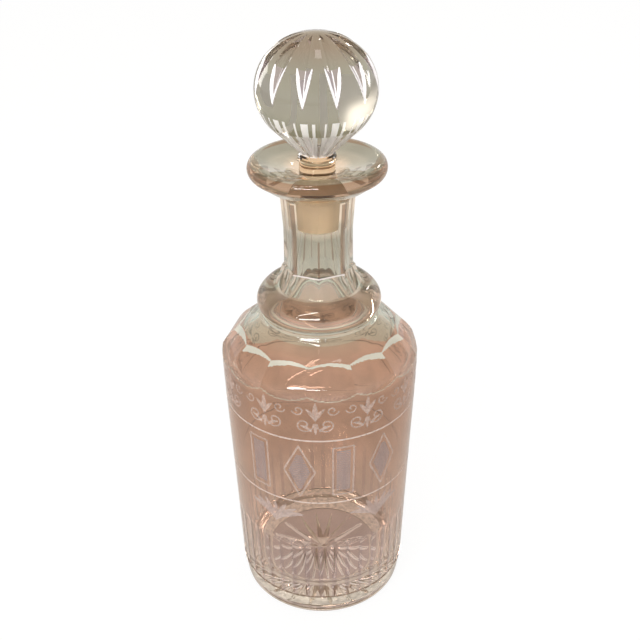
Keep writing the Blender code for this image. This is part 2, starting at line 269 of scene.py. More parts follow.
# %% [markdown]
# Glass
#
# The photograph shows clear old glass that takes on tan and rose in the body and grey-green at the
# neck. One way to get that is to build a coloured room round the decanter, but then the colour would
# slide over the glass in every other view. Here the colour belongs to the glass, graded by height, so
# that it stays where it is.
#
# Three small helpers do the work: a colour for each height, soft clouds that keep the tone from being
# perfectly even, and slow ripples in the polish, as on hand-made glass. They are put together from
# still smaller ones, each of which adds one kind of node.

# %% Helpers that add one kind of node
def new_finish(name):
    """A new material, its node tree and its main shader."""
    material = bpy.data.materials.new(name)
    material.use_nodes = True
    return material, material.node_tree, material.node_tree.nodes["Principled BSDF"]


def noise(tree, place, scale, detail=2.0):
    """Soft random values all over the surface."""
    node = tree.nodes.new("ShaderNodeTexNoise")
    node.inputs["Scale"].default_value = scale
    node.inputs["Detail"].default_value = detail
    tree.links.new(place, node.inputs["Vector"])
    return node.outputs["Fac"]


def stretched(tree, value, low, high):
    """The value, stretched so that low becomes 0 and high becomes 1."""
    node = tree.nodes.new("ShaderNodeMapRange")
    node.inputs["From Min"].default_value = low
    node.inputs["From Max"].default_value = high
    tree.links.new(value, node.inputs["Value"])
    return node.outputs["Result"]


def ramp(tree, value, stops):
    """A colour for each value from 0 to 1. A stop is a value and its colour."""
    node = tree.nodes.new("ShaderNodeValToRGB")
    elements = node.color_ramp.elements
    for element, (position, colour) in zip((elements[0], elements[-1]), (stops[0], stops[-1])):
        element.position = position
        element.color = (*colour, 1)
    for position, colour in stops[1:-1]:
        elements.new(position).color = (*colour, 1)
    tree.links.new(value, node.inputs["Fac"])
    return node.outputs["Color"]


def upright(tree, place):
    """The upright part of a place."""
    node = tree.nodes.new("ShaderNodeSeparateXYZ")
    tree.links.new(place, node.inputs[0])
    return node.outputs["Z"]


print("node helpers:", [helper.__name__ for helper in (new_finish, noise, stretched, ramp, upright)])

# %% Colour by height, clouds and ripples
CLOUD_LOW, CLOUD_HIGH = 0.35, 0.65
RIPPLE_SCALE = 45.0
RIPPLE_DETAIL = 1.0


def colour_by_height(tree, place, stops):
    """The colour of each height. A stop is a height in millimetres and a colour."""
    low, high = stops[0][0] * MILLIMETRE, stops[-1][0] * MILLIMETRE
    share = stretched(tree, upright(tree, place), low, high)
    shares = [((height * MILLIMETRE - low) / (high - low), colour) for height, colour in stops]
    return ramp(tree, share, shares)


def clouded(tree, place, colour, share, size):
    """The colour, darkened here and there by soft clouds of noise."""
    cloud = stretched(tree, noise(tree, place, size), CLOUD_LOW, CLOUD_HIGH)
    blend = tree.nodes.new("ShaderNodeMix")
    blend.data_type = "RGBA"
    blend.blend_type = "MULTIPLY"
    blend.inputs["Factor"].default_value = share
    tree.links.new(colour, blend.inputs["A"])
    tree.links.new(cloud, blend.inputs["B"])
    return blend.outputs["Result"]


def rippled(tree, place, depth):
    """Slow waves in the polish, this many millimetres deep."""
    bump = tree.nodes.new("ShaderNodeBump")
    bump.inputs["Strength"].default_value = 1.0
    bump.inputs["Distance"].default_value = depth * MILLIMETRE
    tree.links.new(noise(tree, place, RIPPLE_SCALE, RIPPLE_DETAIL), bump.inputs["Height"])
    return bump.outputs["Normal"]


print("length of a ripple:", round(1 / (RIPPLE_SCALE * MILLIMETRE)), "mm")

# %% One kind of glass
GLASS_IOR = 1.5
CLOUD_SHARE = 0.10
CLOUD_SCALE = 60.0


def glass(name, stops, rough=0.0, clear=1.0, ripple=0.0, clouds=CLOUD_SHARE, scale=CLOUD_SCALE):
    """Glass coloured by height. Rough glass is ground, and less clear glass is partly white."""
    material, tree, shader = new_finish(name)
    shader.inputs["Roughness"].default_value = rough
    shader.inputs["IOR"].default_value = GLASS_IOR
    shader.inputs["Transmission Weight"].default_value = clear
    place = tree.nodes.new("ShaderNodeTexCoord").outputs["Object"]
    colour = clouded(tree, place, colour_by_height(tree, place, stops), clouds, scale)
    tree.links.new(colour, shader.inputs["Base Color"])
    if ripple:
        tree.links.new(rippled(tree, place, ripple), shader.inputs["Normal"])
    return material


def even(colour):
    """Stops for glass that has one colour at every height."""
    return [(FLOOR_LEVEL, colour), (BALL_TOP, colour)]


print("glass bends light by a factor of", GLASS_IOR)

# %% [markdown]
# The colours of the bottle
#
# Light that crosses the bottle passes two walls, so each wall carries only half of the tone that the eye
# sees. Going up, the glass is warm white at the heel, rose over the flutes, tan on the body, paler on
# the dome, grey-green under the ring and on the neck, and a warmer cream where the stopper's ground peg
# shines through. That cream is the peg's look, painted into the neck and into the inside of the dish
# above it.

# %% Skin and inside of the bottle
TAN = (0.39, 0.205, 0.122)
NECK_GREEN = (0.40, 0.37, 0.285)
PALE_GREEN = (0.60, 0.62, 0.50)
PEG_CREAM = (0.90, 0.74, 0.57)
SKIN_STOPS = [
    (0, (0.62, 0.53, 0.40)),
    (13.5, (0.60, 0.50, 0.38)),
    (15, (0.62, 0.46, 0.355)),
    (36, (0.57, 0.40, 0.30)),
    (46, (0.50, 0.32, 0.235)),
    (56, (0.46, 0.28, 0.19)),
    (80, (0.45, 0.265, 0.17)),
    (98, (0.41, 0.225, 0.137)),
    (118, TAN),
    (136, TAN),
    (141, (0.58, 0.35, 0.25)),
    (150, (0.68, 0.42, 0.31)),
    (153, (0.75, 0.49, 0.365)),
    (156.5, (0.66, 0.52, 0.40)),
    (159.5, PALE_GREEN),
    (175, (0.60, 0.58, 0.46)),
    (183, (0.60, 0.60, 0.50)),
    (187, (0.56, 0.53, 0.43)),
    (195, NECK_GREEN),
    (202, NECK_GREEN),
    # Painted: the peg as seen through the neck.
    (205, PEG_CREAM),
    (222, PEG_CREAM),
    (226, NECK_GREEN),
    (236, NECK_GREEN),
]
INSIDE_STOPS = [
    (16, (1.0, 0.97, 0.98)),
    (150, (1.0, 0.98, 0.96)),
    (226, (0.98, 0.98, 0.94)),
    # Painted: the top of the peg as seen through the dish.
    (227, (0.98, 0.76, 0.56)),
    (231.4, (0.95, 0.72, 0.52)),
    (232, (0.46, 0.43, 0.33)),
    (236, (0.44, 0.40, 0.31)),
]
SKIN_RIPPLE = 0.10
bottle_skin = glass("bottle_skin", SKIN_STOPS, ripple=SKIN_RIPPLE, clouds=0.16)
bottle_inside = glass("bottle_inside", INSIDE_STOPS, ripple=SKIN_RIPPLE)
print("skin stops:", len(SKIN_STOPS))

# %% [markdown]
# Painted light and shade on the cuts
#
# Cutting a facet or a ray doesn't change the glass, but the new edge catches the light or turns it away.
# A render gets part of that by itself, from the shape. The rest is painted into finishes of their own:
# painted highlights as clear bright lines, painted shade as dark brown ridges and bands, pale crescents
# of painted light, painted reflections on the ring, and a heel speckled with painted glints. Only the
# dull ground seat is a real finish of the glass.

# %% Finishes of painted light and shade, and of the ground seat
# The star's ground and the foot are painted darker, as shade round the bright rays.
star_painted_shade = glass("star_painted_shade", even((0.38, 0.28, 0.25)))
# Painted highlights and light: facet ridges and lower edges, star rays, and the band at the ring's foot.
PAINTED_LIGHT_STOPS = [
    (0, (1.0, 1.0, 0.98)),
    (6, (1.0, 0.96, 0.92)),
    (60, (0.80, 0.64, 0.58)),
    (150, (0.66, 0.74, 0.62)),
    (160, (0.66, 0.80, 0.68)),
    (236, (0.80, 0.80, 0.70)),
]
painted_light_glass = glass("painted_light_glass", PAINTED_LIGHT_STOPS)
# Painted shade: the groove above the heel and the band on the lip's outer rim.
SHADE_BAND_STOPS = [
    (0, (0.10, 0.05, 0.03)),
    (20, (0.10, 0.05, 0.03)),
    (221, (0.29, 0.15, 0.08)),
    (236, (0.30, 0.155, 0.085)),
]
shade_band_glass = glass("shade_band_glass", SHADE_BAND_STOPS)
ground_glass = glass("ground_glass", even((1.0, 0.86, 0.66)), rough=0.5, clear=0.05)
# Painted pale light: crescents over the facets and the line at the ring's foot.
pale_painted_light = glass("pale_painted_light", even((0.74, 0.78, 0.68)), rough=0.25, clear=0.6)
# Painted shade along the ridges between flutes and the joints between neck panels.
RIDGE_SHADE_STOPS = [
    (0, (0.42, 0.29, 0.25)),
    (30, (0.40, 0.27, 0.23)),
    (44, (0.42, 0.28, 0.22)),
    (52, (0.42, 0.27, 0.20)),
    (184, (0.22, 0.125, 0.075)),
    (226, (0.21, 0.12, 0.07)),
]
ridge_shade_glass = glass("ridge_shade_glass", RIDGE_SHADE_STOPS)
# Painted reflections and shade on the ring: pale low down, brown higher up, and mottled.
RING_STOPS = [
    (160, (0.97, 0.73, 0.59)),
    (166, (0.93, 0.66, 0.52)),
    (170, (0.46, 0.30, 0.20)),
    (176, (0.32, 0.24, 0.165)),
]
ring_glass = glass("ring_glass", RING_STOPS, ripple=0.5, clouds=0.45)
# Painted highlight on the neck's ledge.
glint_glass = glass("glint_glass", even((1.0, 0.93, 0.91)), rough=0.25, clear=0.35)
# The heel's speckle is painted glints.
HEEL_STOPS = [(0, (0.90, 0.77, 0.63)), (14, (0.88, 0.75, 0.60))]
heel_glint_speckle = glass("heel_glint_speckle", HEEL_STOPS, ripple=0.12, clouds=0.55, scale=420.0)
print("stops of the clear glass:", len(PAINTED_LIGHT_STOPS), "and of the ridges:", len(RIDGE_SHADE_STOPS))

# %% Number the finishes of the bottle
BOTTLE_FINISHES = [bottle_skin, bottle_inside, star_painted_shade, painted_light_glass, shade_band_glass, ground_glass]
BOTTLE_FINISHES += [pale_painted_light, ridge_shade_glass, ring_glass, glint_glass, heel_glint_speckle]
SKIN, INSIDE, STAR, PAINTED_LIGHT, RIM, GROUND, PALE, RIDGE, RING, GLINT, HEEL = range(len(BOTTLE_FINISHES))
print("bottle finishes:", [material.name for material in BOTTLE_FINISHES])

# %% [markdown]
# Inside of the bottle
#
# The inside is a plain blown shape: a flat floor on a thick base, a straight wall, a domed shoulder,
# and a bore that narrows to the ground seat. Above the seat it opens into the shallow dish of the
# lip. It could be left out in a painted bottle, but in a glass one it bends every ray that crosses
# the body.

# %% Outline of the inside
CAVITY_FLOOR = 16.4
cavity = [
    *flow([(0.01, CAVITY_FLOOR), (20.0, 16.4), (31.0, 16.6), (35.6, 18.2), (38.2, 22.0), (39.3, 28.0),
           (39.7, 38.0)]),
    *flow([(39.7, 38.0), (41.8, 88.6), (42.8, 111.0), (43.3, 125.0), (43.4, 133.0), (43.4, 138.7),
           (42.2, 142.3), (37.9, 147.4), (30.0, 153.9), (22.7, 160.5), (17.3, 167.4), (13.0, 175.0),
           (10.7, 184.1), (8.55, 195.5), (7.15, 203.4)])[1:],
]
seat = [(7.15, 203.5), (8.3, 226.5)]
dish = flow(
    [(8.35, 226.6), (9.36, 229.1), (10.94, 230.6), (14.28, 232.2), (19.9, 233.7), (25.89, 235.44)], 3
)
print("inside rows:", len(cavity) + len(seat) + len(dish))

# %% [markdown]
# Lip and neck
#
# The lip is a fat round rim, so its outline is an arc. Under it the neck is cut with eight flat
# panels. A panel could be cut with a boolean, but the turned skin makes it simpler: each column takes
# the smaller of two radii, the round neck's and the flat panel's. Where the round neck is smaller,
# the cut fades out by itself, in the curved tops that real panels have.
#
# The outer side of the rim is painted with a dark brown band of shade. Four of the joints between panels
# are painted with a wide brown line of shade and four with a thin one, and a thin rose highlight is
# painted on the ledge at the foot of the panels that face the viewer and the back.

# %% Lip and neck rows
LIP_EDGE = 4.1
LIP_CENTRE = (26.6, LIP_TOP - LIP_EDGE)
RIM_LOW = 228.9
RIM_HIGH = 234.7
lip = arc(LIP_CENTRE, LIP_EDGE, 100, -69, 16)[1:]
neck_knots = [(24.25, 224.6), (19.86, 221.3), (17.66, 218.35), (16.5, 214.0), (16.8, 184.0)]
neck_outline = flow([lip[-1], *neck_knots], 5)[1:]
NECK_PANELS = 8
PANEL_CORNER = [(184.0, 15.8), (201.5, 15.6), (219.0, 16.9), (223.5, 21.5)]
WIDE_LINE_DEGREES = 5.6
WIDE_LINE_TOP = 219.0
THIN_LINE_DEGREES = 1.1
THIN_LINE_TOP = 203.0
LEDGE_FACING = 0.70
neck_columns = columns_for(NECK_PANELS, 0)
neck_from_middle = from_middle(neck_columns, NECK_PANELS, 0)


def neck_line(height):
    """Which columns of this row lie on the painted shade line at a joint between two panels."""
    joint = np.round(neck_columns * NECK_PANELS / math.tau).astype(int)
    wide = WIDE_LINE_DEGREES if height < WIDE_LINE_TOP else 0
    thin = THIN_LINE_DEGREES if height < THIN_LINE_TOP else 0
    reach = np.radians(np.where(joint % 2 == 1, wide, thin))
    return (reach > 0) & (np.abs(neck_from_middle) + reach > math.pi / NECK_PANELS)


def neck_rows():
    heights, corners = zip(*PANEL_CORNER)
    rows = []
    kinds = []
    for radius, height in neck_outline:
        if height <= heights[-1]:
            panel = flat_sided(np.interp(height, heights, corners), neck_from_middle, NECK_PANELS)
            radius = np.minimum(radius, panel)
        rows.append(row(radius, height, neck_columns))
        # The joints get painted shade lines.
        kinds.append(np.where(neck_line(height), RIDGE, SKIN))
    # A painted highlight on the ledge, on panels facing the viewer and the back.
    facing = np.abs(np.sin(neck_columns)) > LEDGE_FACING
    kinds[-1] = np.where(facing, GLINT, SKIN)
    return rows, kinds


print("neck rows:", len(neck_outline))

# %% [markdown]
# Root of the neck and the ring
#
# Below the ledge the eight sides fade out as the glass flares to the ring. The ring is a thick rounded
# collar, drawn as one smooth outline from the root down to a narrow waist. Its finish is the most
# mottled of all: painted reflections of the whole room, as its deep curve gathers them, pale low down
# and brown higher up. A pale painted highlight runs round its foot.

# %% Root and ring rows
ROOT_LOW = 174.9
ROOT_HIGH = 183.8
ROOT_LEFT_FLAT = 0.45
root_outline = flow([(16.8, ROOT_HIGH), (17.5, 181.5), (18.6, 178.5), (20.1, ROOT_LOW)], 3)
ring_outline = flow(
    [(20.1, 174.85), (23.8, 174.2), (26.6, 172.0), (28.5, 169.3), (RING_REACH, 166.6), (28.6, 164.2),
     (26.8, 162.2), (25.9, 161.4)]
)[1:]
RING_FOOT_LIGHT = 163.0
waist = [(26.6, 161.25), (26.9, 161.0), (27.0, 160.5), (27.2, 159.9)]


def root_rows():
    rows = []
    for radius, height in root_outline:
        flatness = np.interp(height, [ROOT_LOW, ROOT_HIGH], [ROOT_LEFT_FLAT, 1.0])
        sides = flat_sided(radius, neck_from_middle, NECK_PANELS)
        rows.append(row(radius + (sides - radius) * flatness, height, neck_columns))
    return rows


print("ring rows:", len(ring_outline))

# %% [markdown]
# Dome and facets
#
# The shoulder is a dome with thirteen facets ground off its lower part. Each facet is flat across and
# slightly curved up and down, as a grinding wheel leaves it, and the same smaller-of-two-radii trick
# cuts it. Its upper edge is a cusped arc. There the glass is thick and the light gathers, so a pale
# crescent of light is painted there, thin at the front and wide at the sides, and the crescent's width
# is worked out from the way that the facet faces. Highlights are painted along the ridges between the
# facets and along their lower edges.

# %% Outlines of the dome and of the facets' corners
FACETS = 13
FACET_TURN = 13.0
WALL_TOP = (WALL_RADIUS, 136.0)
dome_outline = flow(
    [(27.2, 159.8), (28.42, 158.0), (33.4, 153.96), (36.4, 152.1), (40.3, 149.8), (43.3, 147.5),
     (45.5, 144.85), (46.6, 142.4), (WALL_RADIUS, 140.5), WALL_TOP],
    9,
)
facet_corner = [(34.8, 155.5)] + flow(
    [(37.9, 151.2), (42.0, 147.6), (44.9, 144.2), (47.0, 140.9), (48.4, 138.6), (49.8, 136.0)], 6
)
corner_radii, corner_heights = zip(*reversed(facet_corner))
facet_columns = columns_for(FACETS, FACET_TURN)
facet_from_middle = from_middle(facet_columns, FACETS, FACET_TURN)


def facet_sides(height):
    """How far each column of the facets is from the axis at this height."""
    if corner_heights[0] < height < corner_heights[-1]:
        return flat_sided(np.interp(height, corner_heights, corner_radii), facet_from_middle, FACETS)
    return np.full(COLUMNS, np.inf)


print("dome rows:", len(dome_outline))

# %% Pale crescents of painted light over the facets
CRESCENT_FRONT = 1.1
CRESCENT_FRONT_THIN = 0.4
CRESCENT_SIDE = 3.6
CRESCENT_SIDE_FULL = 1.2
CRESCENT_SIDE_TAPER = 0.5
CRESCENT_SIDE_SWELL = 0.9


def crescent_widths():
    """Width of the painted pale crescent in each column: it grows towards the side of the bottle."""
    around = (facet_columns + math.pi / 2 + math.pi) % math.tau - math.pi
    middle = around - facet_from_middle
    side = np.sin(middle) ** 2
    share = (facet_from_middle * np.sign(np.sin(2 * middle)) * FACETS / math.pi + 1) / 2
    front = CRESCENT_FRONT * (CRESCENT_FRONT_THIN + (1 - CRESCENT_FRONT_THIN) * share) * (1 - side)
    full = CRESCENT_SIDE_FULL - CRESCENT_SIDE_TAPER * share
    return front + CRESCENT_SIDE * np.sqrt(side) * share**CRESCENT_SIDE_SWELL * full


print("widest crescent:", round(float(crescent_widths().max()), 1), "mm")

# %% Rows of the dome
RIDGE_DEGREES = 0.9
RIDGE_GAP = 0.002
FACET_LINE = 0.4
PATCH_LOW, PATCH_HIGH = 152.5, 158.5
PATCH_SIDES, PATCH_FRONT = 0.86, 0.60
FOOT_OF_RING = 157.4


def dome_finish(height):
    """Tan dome, with a band of painted light at the ring's foot that reaches further down at the sides.
    """
    if height > FOOT_OF_RING:
        return np.full(COLUMNS, PAINTED_LIGHT)
    reach = np.interp(height, [PATCH_LOW, PATCH_HIGH], [PATCH_SIDES, PATCH_FRONT])
    patch = (height > PATCH_LOW) & (np.abs(np.cos(facet_columns)) > reach)
    return np.where(patch, PAINTED_LIGHT, SKIN)


def dome_rows():
    half = math.pi / FACETS
    ridge = facet_from_middle > half - math.radians(RIDGE_DEGREES)
    ridge &= facet_from_middle < half - RIDGE_GAP
    flats = [facet_sides(height) < radius for radius, height in dome_outline]
    top = np.zeros(COLUMNS)
    bottom = np.full(COLUMNS, dome_outline[0][1])
    for flat, (radius, height) in zip(flats, dome_outline):
        top = np.where(flat & (top == 0), height, top)
        bottom = np.where(flat, height, bottom)
    rows = []
    kinds = []
    for flat, (radius, height) in zip(flats, dome_outline):
        kind = np.where(flat, SKIN, dome_finish(height))
        # Painted highlights on the ridges and along the facets' lower edges, and painted pale crescents.
        kind[flat & (ridge | (height < bottom + FACET_LINE))] = PAINTED_LIGHT
        kind[flat & (height > top - crescent_widths())] = PALE
        rows.append(row(np.minimum(radius, facet_sides(height)), height, facet_columns))
        kinds.append(kind)
    return rows, kinds


print("clear band at the ring's foot:", round(dome_outline[0][1] - FOOT_OF_RING, 1), "mm")

# %% [markdown]
# Wall and flutes
#
# The body tapers gently towards the foot. Its lower third is cut with forty shallow flutes with round
# tops. A flute is a groove of constant width, and near its top the groove narrows like the end of an
# ellipse. The ridges between the flutes are painted darker and a little pinker, as lines of shade, which
# makes them read as upright bars through the clear base.

# %% Wall and flute rows
wall_knots = [WALL_TOP, (WALL_RADIUS, 134.2), (46.7, 125.3), (46.3, 111.4), (45.4, 88.6), (44.1, 53.0)]
wall_outline = flow(wall_knots, 5)[1:]
FLUTES = 40
FLUTE_TURN = 2.7
FLUTE_TOP = 52.0
FLUTE_DEPTH = 0.30
FLUTE_RIDGE_SHARE = 0.60
HEEL_TOP = 14.0
HEEL_EDGE = 42.8
ROUND_END_ROWS = 12
STRAIGHT_ROWS = 8
STRAIGHT_FIRST_STEP = 3.0
GROOVE_STEP = 0.05
flute_start = FLUTE_TURN - 180 / FLUTES
flute_columns = columns_for(FLUTES, flute_start)
flute_from_middle = from_middle(flute_columns, FLUTES, flute_start) / (math.pi / FLUTES)


def flute_rows():
    half_width = math.pi * HEEL_EDGE / FLUTES
    straight = FLUTE_TOP - half_width
    heights = [
        *np.linspace(FLUTE_TOP, straight, ROUND_END_ROWS),
        *np.linspace(straight - STRAIGHT_FIRST_STEP, HEEL_TOP + GROOVE_STEP, STRAIGHT_ROWS),
    ]
    rows = []
    for height in heights:
        radius = np.interp(height, [HEEL_TOP, wall_outline[-1][1]], [HEEL_EDGE, wall_outline[-1][0]])
        rise = max(0.0, height - straight) / half_width
        reach = math.sqrt(max(0.0, 1 - rise * rise))
        depth = FLUTE_DEPTH * np.maximum(0, reach * reach - flute_from_middle**2)
        rows.append(row(radius - depth, height, flute_columns))
    # The ridges are painted as lines of shade.
    ridges = np.where(np.abs(flute_from_middle) > FLUTE_RIDGE_SHARE, RIDGE, SKIN)
    return rows, [ridges] * len(rows)


print("flute width:", round(math.tau * HEEL_EDGE / FLUTES, 1), "mm")

# %% [markdown]
# Heel and star
#
# A fine groove, painted dark as shade, parts the flutes from the heel, and the heel rounds down to a
# narrow foot. Under the foot the base is cut with a star of eighteen long rays, which the viewer sees
# from above, through the bottle. The star is a low cone of glass with planes cut out of it. Each plane
# passes through a tip of the star and the point where two rays meet, so one formula gives the depth at
# any place. Its rays are painted as highlights, all but those towards the back, on a ground painted
# darker as shade.

# %% Heel and star rows
groove_outline = [(42.0, HEEL_TOP), (41.9, 13.8)]
heel_knots = [(HEEL_EDGE, 13.3), (42.5, 10.5), (41.8, 7.0), (41.1, 2.4), (39.5, 0.45), (37.6, 0.0)]
heel_outline = [(42.7, 13.55), *flow(heel_knots, 3)]
RECESS = 1.0
foot_outline = [(31.8, 0.0), (31.2, RECESS), (30.2, RECESS)]
STAR_RAYS = 18
STAR_TURN = -2.5
STAR_RADIUS = 29.6
STAR_DEPTH = 2.3
STAR_INNER = 8.8
STAR_ROWS = 30
STAR_LAST_SHARE = 0.01
RAY_WIDTH = 1.5
RAY_TIP_SHARE = 0.55
RAYS_BEHIND = 0.72
star_columns = columns_for(2 * STAR_RAYS, STAR_TURN)
star_from_tip = np.abs(from_middle(star_columns, STAR_RAYS, STAR_TURN - 180 / STAR_RAYS))


def star_rows():
    pitch = math.pi / STAR_RAYS
    inner = (STAR_INNER * math.cos(pitch), STAR_INNER * math.sin(pitch))
    slope = (STAR_RADIUS - inner[0]) / inner[1]
    rows = []
    kinds = []
    for share in np.linspace(1, STAR_LAST_SHARE, STAR_ROWS):
        radius = STAR_RADIUS * share
        x, y = radius * np.cos(star_from_tip), radius * np.sin(star_from_tip)
        depth = STAR_DEPTH * (1 - (x + slope * y) / STAR_RADIUS)
        rows.append(row(radius, RECESS + np.maximum(depth, 0), star_columns))
        # Painted highlights on the rays, except those at the back, on a ground painted darker as shade.
        width = RAY_WIDTH * (RAY_TIP_SHARE + (1 - RAY_TIP_SHARE) * math.sin(math.pi * share))
        bright = (star_from_tip * radius < width) & (radius > STAR_INNER)
        kinds.append(np.where(bright & (np.sin(star_columns) < RAYS_BEHIND), PAINTED_LIGHT, STAR))
    return rows, kinds


print("star rays:", STAR_RAYS)

# %% [markdown]
# The bottle in one piece
#
# Now the zones are laid one after another, from the middle of the cavity's floor, up the inside, over
# the lip, down the outside and back to the middle of the star. The skin takes over both the bottle
# and its neck ring, because a glassmaker joins the two while they are hot, and no seam is left
# between them.

# %% Make the bottle
# The lip's outer side gets a band of painted shade.
lip_finishes = [RIM if RIM_LOW < height < RIM_HIGH else SKIN for radius, height in lip]
# The ring's foot gets a painted pale highlight.
ring_finishes = [PALE if height < RING_FOOT_LIGHT else RING for radius, height in ring_outline]


def make_bottle():
    rows = [(0, 0, CAVITY_FLOOR * MILLIMETRE)]
    kinds = [INSIDE]

    def lay(new_rows, kind=SKIN):
        rows.extend(new_rows)
        kinds.extend(kind if isinstance(kind, list) else [kind] * len(new_rows))

    def turned(outline):
        return [row(radius, height) for radius, height in outline]

    lay(turned(cavity), INSIDE)
    lay(turned(seat), GROUND)
    lay(turned(dish), INSIDE)
    lay(turned(lip), lip_finishes)
    lay(*neck_rows())
    lay(root_rows())
    lay(turned(ring_outline), ring_finishes)
    # The waist is painted light.
    lay(turned(waist), PAINTED_LIGHT)
    lay(*dome_rows())
    lay(turned(wall_outline))
    lay(*flute_rows())
    # The groove is painted dark, as shade.
    lay(turned(groove_outline), RIM)
    lay(turned(heel_outline), HEEL)
    # The foot is painted darker, as shade.
    lay(turned(foot_outline), STAR)
    lay(*star_rows())
    rows.append((0, 0, (RECESS + STAR_DEPTH) * MILLIMETRE))
    return skin("decanter_bottle", rows, kinds, BOTTLE_FINISHES)


bottle = make_bottle()
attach(bottle, "bottle_body")
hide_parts("bottle", "neck_ring")

# %% [markdown]
# Patterns that lie on the glass
#
# Old taverns had their bottles etched with a band of ornament. Etching leaves a dull grain on the
# surface and takes away almost nothing, so here it is laid on as flat bars, a few hundredths of a
# millimetre proud of the wall. A texture could do it too, but it would need an image, and bars stay
# sharp at any distance.
#
# A place on the body is given as degrees round it, with zero facing the viewer, and as a height. Each
# stroke runs along such places and becomes one closed bar.

# %% Places on the wall
BAND_TOP = (WALL_RADIUS, 140.0)
ARC_RADIUS = 46.0
MILLIMETRES_A_DEGREE = ARC_RADIUS * math.radians(1)
wall_places = sorted((height, radius) for radius, height in [*wall_outline, BAND_TOP])
wall_heights, wall_radii = zip(*wall_places)


def on_wall(degrees, height, proud):
    """A point on the outside of the body. Degrees grow to the right, and zero faces the viewer."""
    radius = (np.interp(height, wall_heights, wall_radii) + proud) * MILLIMETRE
    angle = math.radians(degrees - 90)
    return (radius * math.cos(angle), radius * math.sin(angle), height * MILLIMETRE)


print("one degree on the wall:", round(MILLIMETRES_A_DEGREE, 2), "mm")

# %% One flat bar
PROUD_HIGH = 0.07
PROUD_LOW = 0.02
BAR_SIDES = 4
TINY = 1e-9


def bar_faces(count):
    """Faces of a closed bar with four corners at each of its places."""
    first = tuple(range(BAR_SIDES))
    faces = [first, tuple(BAR_SIDES * (count - 1) + corner for corner in reversed(first))]
    for start in range(0, BAR_SIDES * (count - 1), BAR_SIDES):
        for side in range(BAR_SIDES):
            here, there = start + side, start + (side + 1) % BAR_SIDES
            faces.append((here, here + BAR_SIDES, there + BAR_SIDES, there))
    return faces


def stroke(places, width):
    """A flat bar along places on the wall. The width, in millimetres, may change along it."""
    scale = np.array([MILLIMETRES_A_DEGREE, 1.0])
    flat = np.array(places, float) * scale
    along = np.gradient(flat, axis=0)
    along /= np.linalg.norm(along, axis=1)[:, None] + TINY
    across = np.stack([-along[:, 1], along[:, 0]], axis=1)
    half = np.broadcast_to(width, len(flat))[:, None] / 2
    corners = []
    for one, other in zip((flat + across * half) / scale, (flat - across * half) / scale):
        corners.extend([on_wall(*one, PROUD_HIGH), on_wall(*other, PROUD_HIGH)])
        corners.extend([on_wall(*other, PROUD_LOW), on_wall(*one, PROUD_LOW)])
    return corners, bar_faces(len(flat))


print("height of a bar:", round(PROUD_HIGH - PROUD_LOW, 2), "mm")


# %% One piece made of many bars
def laid_on(name, bars, material, body):
    """A piece made of bars, which rides on a body and has the finish given to it."""
    points = []
    faces = []
    for corners, sides in bars:
        faces.extend(tuple(len(points) + corner for corner in face) for face in sides)
        points.extend(corners)
    piece = add_piece(name, points, faces, [material])
    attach(piece, body)
    return piece


print("faces of a bar with three places:", len(bar_faces(3)))

# %% [markdown]
# Frosting
#
# Acid leaves glass pale, dull and half clear. The finish is a rough surface with a very fine grain in
# its colour, and only part of it covers, so that the tan of the body still comes through.

# %% Four kinds of frost
GRAIN_SCALE = 700.0
FROST_ROUGHNESS = 0.8


def frost(name, colour, other, cover):
    """Etched glass, grained between two colours. The cover is the share of the glass that it hides."""
    material, tree, shader = new_finish(name)
    place = tree.nodes.new("ShaderNodeTexCoord").outputs["Object"]
    grain = ramp(tree, noise(tree, place, GRAIN_SCALE), [(CLOUD_LOW, colour), (CLOUD_HIGH, other)])
    tree.links.new(grain, shader.inputs["Base Color"])
    shader.inputs["Roughness"].default_value = FROST_ROUGHNESS
    shader.inputs["Alpha"].default_value = cover
    return material


pale_frost = frost("pale_frost", (0.72, 0.58, 0.52), (0.48, 0.37, 0.32), cover=0.26)
line_frost = frost("line_frost", (0.82, 0.68, 0.62), (0.70, 0.58, 0.52), cover=0.34)
grey_frost = frost("grey_frost", (0.38, 0.31, 0.31), (0.29, 0.24, 0.24), cover=0.48)
leaf_frost = frost("leaf_frost", (0.62, 0.50, 0.46), (0.46, 0.37, 0.34), cover=0.36)
print("frosts:", pale_frost.name, line_frost.name, grey_frost.name, leaf_frost.name)

# %% [markdown]
# The two lines and the scroll border
#
# Two lines run round the body and frame the band. Above them, under the shoulder, stands a border of
# scrolls and three-leaved sprigs. It is drawn from only two shapes: a curl that tightens towards its
# centre, and a pointed leaf that swells in the middle. Twelve repeats of the same ten strokes go
# round the bottle.

# %% Two lines round the body
LINES = [(117.0, 0.9), (79.0, 0.8)]
LINE_STEPS = 120


def line_round(height, width):
    return stroke([(degrees, height) for degrees in np.linspace(0, 360, LINE_STEPS + 1)], width)


line_bars = [line_round(height, width) for height, width in LINES]
laid_on("etched_lines", line_bars, line_frost, "bottle_body")

# %% Curls and leaves
CURL_LEFT_OPEN = 0.12
CURL_STEPS = 26
LEAF_STEPS = 10
LEAF_STRAIGHT = 0.6
LEAF_ROOT, LEAF_LONG = 0.06, 0.9
LEAF_FULLNESS = 0.8


def curl(centre, size, turns, start, hand):
    """A spiral line that tightens towards its centre."""
    shares = np.linspace(0, 1, CURL_STEPS)
    angles = np.radians(start) + hand * shares * turns * math.tau
    radii = size * (1 - shares * (1 - CURL_LEFT_OPEN))
    degrees = centre[0] + radii * np.cos(angles) / MILLIMETRES_A_DEGREE
    return list(zip(degrees, centre[1] + radii * np.sin(angles)))


